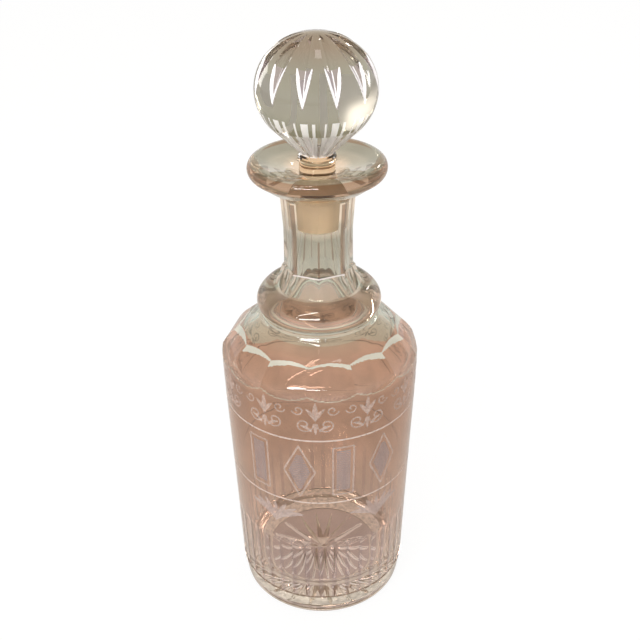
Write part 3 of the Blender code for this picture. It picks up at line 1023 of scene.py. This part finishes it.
def leaf(root, lean, length, width):
    """A pointed leaf that swells in the middle. It leans this many degrees from straight up."""
    shares = np.linspace(0, 1, LEAF_STEPS)
    bend = np.radians(lean) * (LEAF_STRAIGHT + (1 - LEAF_STRAIGHT) * shares)
    degrees = root[0] + length * shares * np.sin(bend) / MILLIMETRES_A_DEGREE
    heights = root[1] + length * shares * np.cos(bend)
    swell = np.sin(math.pi * (LEAF_ROOT + LEAF_LONG * shares)) ** LEAF_FULLNESS
    return stroke(list(zip(degrees, heights)), width * swell)


print("places along a curl:", CURL_STEPS, "and along a leaf:", LEAF_STEPS)

# %% Scroll border
SPRIGS = 12
SPRIG_TURN = -3.0
MIDDLE_LEAVES = [
    {"height": 128.4, "length": 10.2, "width": 2.4},
    {"height": 121.0, "length": 6.4, "width": 1.6},
]
CURLS = [
    {"away": 6.3, "height": 126.2, "size": 4.4, "turns": 1.35, "start": 80, "hand": 1, "width": 0.75},
    {"away": 9.6, "height": 134.2, "size": 2.9, "turns": 1.2, "start": -100, "hand": -1, "width": 0.65},
]
SIDE_LEAVES = [
    {"away": 2.0, "height": 122.4, "lean": 58, "length": 6.4, "width": 1.5},
    {"away": 0.0, "height": 129.0, "lean": 34, "length": 7.4, "width": 2.0},
]


def sprig(middle):
    """Two leaves in the middle, and curls and leaves on both sides of them."""
    bars = [leaf((middle, part["height"]), 0, part["length"], part["width"]) for part in MIDDLE_LEAVES]
    for hand in (-1, 1):
        for part in CURLS:
            centre = (middle + hand * part["away"], part["height"])
            start = 90 + hand * part["start"]
            line = curl(centre, part["size"], part["turns"], start, hand * part["hand"])
            bars.append(stroke(line, part["width"]))
        for part in SIDE_LEAVES:
            root = (middle + hand * part["away"], part["height"])
            bars.append(leaf(root, hand * part["lean"], part["length"], part["width"]))
    return bars


border = [bar for number in range(SPRIGS) for bar in sprig(SPRIG_TURN + number * 360 / SPRIGS)]
laid_on("etched_scrolls", border, pale_frost, "bottle_body")

# %% [markdown]
# The band of panes and lozenges
#
# Between the two lines the front of the bottle has a plain band: upright panes and lozenges in turn,
# each with a thin outline and a core of close, level hatching. Hatching is how an engraver greys a
# surface, line by line, and it reads as a soft lilac grey on the tan.

# %% Outlines and hatching
OUTLINE_WIDTH = 0.9
OUTLINE_STEPS = 7
HATCH_PITCH = 1.15
HATCH_WIDTH = 0.8
HATCH_STEPS = 5
SHORTEST_HATCH = 0.4


def outline_bars(corners):
    """A bar along each side of a shape."""
    sides = zip(corners, corners[1:] + corners[:1])
    return [stroke(np.linspace(here, there, OUTLINE_STEPS), OUTLINE_WIDTH) for here, there in sides]


def hatching(middle, low, high, half_at):
    """Level bars from low to high. Half their length, in degrees, may change with their height."""
    bars = []
    for height in np.arange(low, high, HATCH_PITCH):
        half = half_at(height)
        if half > SHORTEST_HATCH:
            degrees = np.linspace(middle - half, middle + half, HATCH_STEPS)
            bars.append(stroke([(place, height) for place in degrees], HATCH_WIDTH))
    return bars


print("hatching bars stand", HATCH_PITCH, "mm apart")

# %% Panes and lozenges
PANE_PLACES = (-39.0, 13.0)
LOZENGE_PLACES = (-13.0, 39.0)
PANE_HALF, LOZENGE_HALF = 6.2, 9.4
PANE_CORE, LOZENGE_CORE = 4.2, 6.6
MOTIF_LOW, MOTIF_HIGH = 84.0, 112.5
MOTIF_MIDDLE = (MOTIF_LOW + MOTIF_HIGH) / 2
PANE_FOOT, PANE_HEAD = 3.0, 2.0
LOZENGE_MARGIN = 4.0
LOZENGE_REACH = 1.0
LOZENGE_CORE_HIGH = 12.5


def lozenge_core(height):
    return LOZENGE_CORE * (1 - abs(height - MOTIF_MIDDLE) / LOZENGE_CORE_HIGH)


motif_outlines = []
motif_cores = []
for middle in PANE_PLACES:
    left, right = middle - PANE_HALF, middle + PANE_HALF
    pane = [(left, MOTIF_LOW), (left, MOTIF_HIGH), (right, MOTIF_HIGH), (right, MOTIF_LOW)]
    motif_outlines += outline_bars(pane)
    low, high = MOTIF_LOW + PANE_FOOT, MOTIF_HIGH - PANE_HEAD
    motif_cores += hatching(middle, low, high, lambda height: PANE_CORE)
for middle in LOZENGE_PLACES:
    left, right = (middle - LOZENGE_HALF, MOTIF_MIDDLE), (middle + LOZENGE_HALF, MOTIF_MIDDLE)
    top, foot = (middle, MOTIF_HIGH + LOZENGE_REACH), (middle, MOTIF_LOW - LOZENGE_REACH)
    motif_outlines += outline_bars([left, top, right, foot])
    low, high = MOTIF_LOW + LOZENGE_MARGIN, MOTIF_HIGH - LOZENGE_MARGIN
    motif_cores += hatching(middle, low, high, lozenge_core)
laid_on("etched_outlines", motif_outlines, pale_frost, "bottle_body")
laid_on("etched_hatching", motif_cores, grey_frost, "bottle_body")

# %% [markdown]
# The leaf sprays
#
# Under the lower line two sprays of seven leaves fan out to the left and the right of the star. The
# outer leaves lean further than the inner ones, as leaves that open from one stem do.

# %% Leaf sprays
SPRAY_PLACES = (-30.0, 36.0)
SPRAY_LEAVES = 7
SPRAY_FOOT = 63.0
SPRAY_PITCH = 3.6
SPRAY_GATHER = 0.35
SPRAY_RISE = 0.3
SPRAY_LEAN = 6.5
SPRAY_LEAF_LENGTH = 12.5
SPRAY_LEAF_WIDTH = 2.9


def spray(middle):
    bars = []
    for number in range(SPRAY_LEAVES):
        offset = (number - SPRAY_LEAVES // 2) * SPRAY_PITCH
        root = (middle + offset * SPRAY_GATHER, SPRAY_FOOT + abs(offset) * SPRAY_RISE)
        bars.append(leaf(root, offset * SPRAY_LEAN, SPRAY_LEAF_LENGTH, SPRAY_LEAF_WIDTH))
    return bars


spray_bars = [bar for middle in SPRAY_PLACES for bar in spray(middle)]
laid_on("etched_leaves", spray_bars, leaf_frost, "bottle_body")

# %% [markdown]
# The stopper
#
# The stopper is a solid glass ball on a ground peg. Twelve pointed cuts run from near the top of the
# ball to below its middle, and twelve more run down the cone to the collar. A cut is a V-shaped
# groove: it is deepest in the middle of its length and its walls rise at a fixed slope, so it is
# widest where it is deepest and ends in a point. Being solid, the ball turns the room behind it
# upside down.

# %% Glass of the stopper
BALL_STOPS = [
    (205, (1.0, 0.86, 0.70)),
    (236, (1.0, 0.86, 0.70)),
    (252, NECK_GREEN),
    (278, NECK_GREEN),
    (285, (0.36, 0.24, 0.16)),
    (289, (0.34, 0.22, 0.14)),
]
# The cut walls are painted paler and lilac, as painted light.
CUT_STOPS = [
    (205, (1.0, 0.96, 0.94)),
    (250, (1.0, 0.94, 0.91)),
    (256, (0.70, 0.58, 0.58)),
    (272, (0.58, 0.46, 0.52)),
    (289, (0.42, 0.33, 0.27)),
]
ball_glass = glass("ball_glass", BALL_STOPS)
cut_painted_light = glass("cut_painted_light", CUT_STOPS)
peg_glass = glass("peg_glass", even((0.36, 0.26, 0.18)), rough=0.3, clear=0.85)
# Painted highlights: the lines along the cuts.
edge_highlight_glass = glass("edge_highlight_glass", even((1.0, 0.97, 0.97)), rough=0.25, clear=0.15)
# Pale petals of painted light on the cone.
PETAL_STOPS = [(205, (1.0, 0.97, 0.95)), (289, (1.0, 0.97, 0.94))]
petal_light_glass = glass("petal_light_glass", PETAL_STOPS, rough=0.35, clear=0.45)
STOPPER_FINISHES = [ball_glass, cut_painted_light, peg_glass, edge_highlight_glass, petal_light_glass]
BALL, CUT, PEG, EDGE, CONE = range(len(STOPPER_FINISHES))
print("stopper finishes:", [material.name for material in STOPPER_FINISHES])

# %% Where the cuts lie
BALL_RADIUS = 26.1
BALL_HALF_HEIGHT = 23.59
TOP_INSET = 0.01
BALL_CENTRE = BALL_TOP - TOP_INSET - BALL_HALF_HEIGHT
CUTS = 12
CUT_TURN = 17.7
CUT_DEPTH = 1.9
CUT_SPREAD = 1.7
CUT_LOW_DEGREES = -2
CUT_LONG_DEGREES = 82
cut_start = CUT_TURN - 180 / CUTS
cut_columns = columns_for(2 * CUTS, cut_start)
cut_from_middle = np.abs(from_middle(cut_columns, CUTS, cut_start))
cut_degrees = np.degrees(cut_from_middle)


def cut_depth(degrees):
    """How deep the cuts go at this angle above the middle of the ball."""
    share = (degrees - CUT_LOW_DEGREES) / CUT_LONG_DEGREES
    return CUT_DEPTH * math.sin(math.pi * share) if 0 < share < 1 else 0.0


def on_ball(degrees):
    """Radius and height of the ball's surface at this angle above its middle."""
    angle = math.radians(degrees)
    return BALL_RADIUS * math.cos(angle), BALL_CENTRE + BALL_HALF_HEIGHT * math.sin(angle)


print("widest cut:", round(2 * CUT_DEPTH * CUT_SPREAD, 1), "mm")

# %% [markdown]
# Ball, cone, collar and peg
#
# The ball's rows are spaced evenly by angle, so they close up towards the top, where the cuts converge.
# Under the ball a straight cone carries on with the lower cuts down to a small collar, and the peg below
# it fits the ground seat of the neck. The lower cuts are painted as pale upright petals of light, wide
# ones with narrow ones between.

# %% Painted light on the cuts and the petals
PETALS_TOP = -16
PETALS_FULL = -35
CUT_HIGH = 37.0
LEAST_CUT = 0.02
DEEP_CUT = 0.9
GROOVE_LINE_DEGREES = 0.8
WIDE_PETALS = (5.8, 6.6, 12.8)
THIN_PETALS = (3.2, 8.0, 10.2)


def petal_columns(half, beside, end):
    """Columns of a petal in the middle of each cut and of one on each side of it."""
    return (cut_degrees < half) | ((cut_degrees > beside) & (cut_degrees < end))


petals = petal_columns(*WIDE_PETALS)
thin_petals = petal_columns(*THIN_PETALS)


def cut_finish(cut, degrees):
    """Plain ball, cut walls painted lighter with a painted highlight along each bottom, and petals of
    painted light under the ball.
    """
    if degrees < PETALS_FULL:
        return np.where(petals, CONE, CUT)
    if degrees < PETALS_TOP:
        return np.where(thin_petals, CONE, BALL)
    if degrees >= CUT_HIGH:
        return np.full(COLUMNS, BALL)
    finish = np.where(cut > LEAST_CUT, CUT, BALL)
    # A painted highlight along the bottom of each deep cut.
    finish[(cut > DEEP_CUT) & (cut_degrees < GROOVE_LINE_DEGREES)] = EDGE
    return finish


print("share of the cone that is pale:", round(float(petals.mean()), 2))

# %% Rows of the ball
BALL_ROWS = 130
BALL_TOP_DEGREES = 89.3
CONE_TOP_DEGREES = -40
UNDER_CUT_DEGREES = -34
CONE_DEPTH = 2.2
CONE_SPREAD = 1.1


def ball_rows():
    rows = []
    kinds = []
    for degrees in np.linspace(BALL_TOP_DEGREES, CONE_TOP_DEGREES, BALL_ROWS):
        radius, height = on_ball(degrees)
        lean = math.radians(degrees)
        across = radius * cut_from_middle
        under = np.interp(degrees, [CONE_TOP_DEGREES, UNDER_CUT_DEGREES], [CONE_DEPTH, 0])
        cut = np.maximum(cut_depth(degrees) - across / CUT_SPREAD, under - across / CONE_SPREAD)
        cut = np.maximum(cut, 0)
        rows.append(row(radius - cut * math.cos(lean), height - cut * math.sin(lean), cut_columns))
        kinds.append(cut_finish(cut, degrees))
    return rows, kinds


print("ball rows:", BALL_ROWS)

# %% Rows of the cone
CONE_LOW = (7.2, 238.0)
CONE_LOW_DEPTH = 0.9
CONE_ROWS = 20
CONE_FIRST_SHARE = 0.05
CONE_SLANT = 0.62


def cone_rows():
    top = np.array([*on_ball(CONE_TOP_DEGREES), CONE_DEPTH])
    foot = np.array([*CONE_LOW, CONE_LOW_DEPTH])
    rows = []
    for share in np.linspace(CONE_FIRST_SHARE, 1, CONE_ROWS):
        radius, height, deep = top + (foot - top) * share
        cut = np.maximum(0, deep - radius * cut_from_middle / CONE_SPREAD)
        rows.append(row(radius - cut * CONE_SLANT, height + cut * CONE_SLANT, cut_columns))
    return rows, [np.where(petals, CONE, CUT)] * CONE_ROWS


print("cone rows:", CONE_ROWS)

# %% Make the stopper
collar_outline = [
    (7.3, 237.6), (8.1, 236.9), (8.4, 236.3), (8.4, 235.4), (8.1, 234.7), (8.0, 234.5), (8.0, 228.0),
    (8.0, 226.5),
]
peg_outline = [(7.99, 226.3), (6.97, 205.8), (6.5, 205.2), (6.1, PEG_END), (0.5, PEG_END)]


def make_stopper():
    ball, ball_kinds = ball_rows()
    cone, cone_kinds = cone_rows()
    collar = [row(radius, height) for radius, height in collar_outline]
    peg = [row(radius, height) for radius, height in peg_outline]
    top = (0, 0, (BALL_CENTRE + BALL_HALF_HEIGHT) * MILLIMETRE)
    rows = [top, *ball, *cone, *collar, *peg, (0, 0, PEG_END * MILLIMETRE)]
    kinds = [BALL, *ball_kinds, *cone_kinds, *[BALL] * len(collar), *[PEG] * len(peg)]
    return skin("decanter_stopper", rows, kinds, STOPPER_FINISHES)


stopper = make_stopper()
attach(stopper, "stopper_body")
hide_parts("stopper")

# %% [markdown]
# Painted highlights on the edges of the cuts
#
# The eye finds each cut by the two white lines where its walls break the surface of the ball, and here
# they are painted highlights. They need to be smooth, and the ball's grid would give them steps. So each
# line is a strip of its own: a thin closed bar, painted white as a highlight, that lies on the wall of
# the cut and follows its rim, from the point at the bottom to where the cut fades out.

# %% Painted highlight strips along the cuts
EDGE_WIDTH = 1.25
EDGE_START = -0.5
EDGE_STEPS = 26
EDGE_TAPER_DEGREES = 12
EDGE_LEAST_SHARE = 0.35


def on_cut(degrees, turn, across, lift):
    """A point on the wall of a cut, this far across from its middle line and lifted off the glass."""
    radius, height = on_ball(degrees)
    sunk = cut_depth(degrees) - abs(across) / CUT_SPREAD - lift
    angle = turn + across / radius
    radius -= sunk * math.cos(math.radians(degrees))
    height -= sunk * math.sin(math.radians(degrees))
    point = (radius * math.cos(angle), radius * math.sin(angle), height)
    return tuple(MILLIMETRE * part for part in point)


def highlight_strip(turn, hand):
    corners = []
    for degrees in np.linspace(EDGE_START, CUT_HIGH, EDGE_STEPS):
        outer = cut_depth(degrees) * CUT_SPREAD
        taper = min(1, EDGE_LEAST_SHARE + (CUT_HIGH - degrees) / EDGE_TAPER_DEGREES)
        inner = max(0.0, outer - EDGE_WIDTH * taper)
        section = [(outer, PROUD_HIGH), (inner, PROUD_HIGH), (inner, PROUD_LOW), (outer, PROUD_LOW)]
        corners.extend(on_cut(degrees, turn, hand * across, lift) for across, lift in section)
    return corners, bar_faces(EDGE_STEPS)


cut_turns = np.radians(CUT_TURN + np.arange(CUTS) * 360 / CUTS)
highlight_strips = [highlight_strip(turn, hand) for turn in cut_turns for hand in (-1, 1)]
edges = laid_on("stopper_cut_highlights", highlight_strips, edge_highlight_glass, "stopper_body")

# %% [markdown]
# The floor
#
# The decanter stands on a plain white floor. Real white paper takes the shadow but looks grey in a
# render, so the floor mostly glows for the camera and for rays that come through the glass, at a
# strength where it reads as white. For all other rays it is dull paint, so the glow puts no extra
# light on the glass.

# %% Which rays see the glow
def seen_rays(tree, *kinds):
    """1 for the camera's rays and for the other kinds named here; 0 for all the rest."""
    path = tree.nodes.new("ShaderNodeLightPath")
    seen = path.outputs["Is Camera Ray"]
    for kind in kinds:
        either = tree.nodes.new("ShaderNodeMath")
        either.operation = "MAXIMUM"
        tree.links.new(seen, either.inputs[0])
        tree.links.new(path.outputs[kind], either.inputs[1])
        seen = either.outputs[0]
    return seen


print("camera rays always see the glow")

# %% Floor
FLOOR_SIZE = 6.0
FLOOR_DROP = 0.0002
FLOOR_PAINT = (0.60, 0.58, 0.55)
FLOOR_ROUGHNESS = 0.9
FLOOR_GLOW = 1.06
FLOOR_GLOW_SHARE = 0.86


def floor_finish():
    material, tree, shader = new_finish("floor_paint")
    shader.inputs["Base Color"].default_value = (*FLOOR_PAINT, 1)
    shader.inputs["Roughness"].default_value = FLOOR_ROUGHNESS
    shader.inputs["Specular IOR Level"].default_value = 0.0
    glow = tree.nodes.new("ShaderNodeEmission")
    glow.inputs["Strength"].default_value = FLOOR_GLOW
    share = tree.nodes.new("ShaderNodeMath")
    share.operation = "MULTIPLY"
    share.inputs[1].default_value = FLOOR_GLOW_SHARE
    tree.links.new(seen_rays(tree, "Is Transmission Ray"), share.inputs[0])
    blend = tree.nodes.new("ShaderNodeMixShader")
    for value, place in ((share, "Fac"), (shader, 1), (glow, 2)):
        tree.links.new(value.outputs[0], blend.inputs[place])
    tree.links.new(blend.outputs[0], tree.nodes["Material Output"].inputs["Surface"])
    return material


half = FLOOR_SIZE / 2
floor_corners = [(-half, -half, 0), (half, -half, 0), (half, half, 0), (-half, half, 0)]
floor = add_piece("floor", floor_corners, [(0, 1, 2, 3)], [floor_finish()])
floor.location.z = -FLOOR_DROP

# %% [markdown]
# The room
#
# Glass mirrors and bends the room, so the room matters more than the lamps. The camera sees plain
# white. Rays from the glass see white near the horizon and a duller warm grey towards the ceiling,
# which gives the dome and the lip their quiet tone. All other rays get one plain white, which is the
# soft light of the studio.

# %% Room
WHITE = (1.0, 1.0, 1.0)
ROOM_LIGHT = (0.95, 0.95, 0.95)
ROOM_STOPS = [
    (0.0, (1.0, 1.0, 1.0)),
    (0.10, (1.0, 1.0, 0.98)),
    (0.30, (0.75, 0.76, 0.68)),
    (0.60, (0.50, 0.46, 0.38)),
    (1.0, (0.50, 0.42, 0.36)),
]
MOST_BOUNCES = 96


def choose(tree, factor, colour, other):
    """The first colour where the factor is 0, and the other where it is 1."""
    blend = tree.nodes.new("ShaderNodeMix")
    blend.data_type = "RGBA"
    tree.links.new(factor, blend.inputs["Factor"])
    for value, name in ((colour, "A"), (other, "B")):
        if isinstance(value, tuple):
            blend.inputs[name].default_value = (*value, 1)
        else:
            tree.links.new(value, blend.inputs[name])
    return blend.outputs["Result"]


def add_room():
    world = bpy.data.worlds.new("studio")
    bpy.context.scene.world = world
    world.use_nodes = True
    tree = world.node_tree
    direction = tree.nodes.new("ShaderNodeTexCoord").outputs["Generated"]
    walls = ramp(tree, upright(tree, direction), ROOM_STOPS)
    glass_sees = seen_rays(tree, "Is Glossy Ray", "Is Transmission Ray")
    room = choose(tree, glass_sees, ROOM_LIGHT, walls)
    seen = choose(tree, seen_rays(tree), room, WHITE)
    tree.links.new(seen, tree.nodes["Background"].inputs["Color"])


add_room()
for kind in ("max_bounces", "glossy_bounces", "transmission_bounces"):
    setattr(bpy.context.scene.cycles, kind, MOST_BOUNCES)
print("bounces:", MOST_BOUNCES)

# %% [markdown]
# Lamps
#
# In the photograph long thin lights are mirrored on the lip, the ring and the facets, so the lamps
# here are straight bars. A lamp is given by its two ends, each as a place seen from the decanter: how
# far round from the viewer, and how high up. These places come from tracing a ray from the camera to
# each highlight in the photograph and on to the wall of the room.
#
# The ball would turn the same bars into hard spots that it doesn't have. Light linking keeps them off
# it, and gives it lamps of its own: a soft fill, and two windows that shine through it from behind.

# %% A straight lamp
LAMP_AIM = 0.15
LAMP_DISTANCE = 1.3


def spot(turn, rise):
    """A place seen from the decanter: degrees to the right of the viewer, and degrees up."""
    turn, rise = math.radians(turn), math.radians(rise)
    flat = LAMP_DISTANCE * math.cos(rise)
    height = LAMP_AIM + LAMP_DISTANCE * math.sin(rise)
    return Vector((flat * math.sin(turn), -flat * math.cos(turn), height))


def add_lamp(name, start, end, width, strength, colour):
    """A straight lamp from one place to another, turned so that it shines on the decanter."""
    start, end = spot(*start), spot(*end)
    middle = (start + end) / 2
    along = (end - start).normalized()
    back = middle - Vector((0, 0, LAMP_AIM))
    back = (back - along * back.dot(along)).normalized()
    turn = Matrix((along, back.cross(along), back)).transposed().to_4x4()
    light = bpy.data.lights.new(name, "AREA")
    light.shape = "RECTANGLE"
    light.size, light.size_y = (end - start).length, width
    light.energy = strength * math.pi * light.size * light.size_y
    light.color = colour
    lamp = bpy.data.objects.new(name, light)
    lamp.matrix_world = Matrix.Translation(middle) @ turn
    bpy.context.scene.collection.objects.link(lamp)
    print(name, round(light.size, 2), "m long", round(light.energy, 2), "W")
    return lamp


# %% Link lamps to the stopper
def link_to_stopper(lamps, name, state):
    """Makes these lamps shine on the stopper alone, or on everything but the stopper."""
    group = bpy.data.collections.new(name)
    for number, piece in enumerate((stopper, edges)):
        group.objects.link(piece)
        group.collection_objects[number].light_linking.link_state = state
    for lamp in lamps:
        lamp.light_linking.receiver_collection = group
    print(name, [lamp.name for lamp in lamps])


# %% All lamps
ROSE = (1.0, 0.93, 0.92)
WARM = (1.0, 0.95, 0.91)
BAR_LAMPS = [
    ("key", (-37, 24), (1, 33), 0.13, 24.0, WHITE),
    ("dome_bar", (-44, 40), (-2, 64), 0.05, 24.0, WHITE),
    ("left_facet_bar", (-42.4, 24.5), (-42.7, 32.5), 0.018, 26.0, WHITE),
    ("right_facet_bar", (10.2, 33.6), (11.4, 30.0), 0.018, 26.0, WHITE),
]
STOPPER_LAMPS = [
    ("stopper_fill", (-50, 35), (-10, 35), 0.40, 12.0, WHITE),
    ("right_strip", (112.6, 2.2), (112.6, 33.0), 0.12, 8.0, ROSE),
    ("right_window", (-118, 11), (-160, 15), 0.50, 5.0, WARM),
    ("left_window", (113, 6), (124, 16), 0.14, 8.0, WHITE),
]
ROOM_LAMPS = [
    ("back_spot", (150, 31), (154, 31), 0.12, 26.0, ROSE),
    ("top", (-153, 84.9), (106, 73.8), 0.40, 3.0, ROSE),
]
link_to_stopper([add_lamp(*lamp) for lamp in BAR_LAMPS], "kept_from_bars", "EXCLUDE")
fill, *others = [add_lamp(*lamp) for lamp in STOPPER_LAMPS]
fill.visible_glossy = False
fill.visible_transmission = False
link_to_stopper([fill, *others], "stopper_only", "INCLUDE")
for lamp in ROOM_LAMPS:
    add_lamp(*lamp)
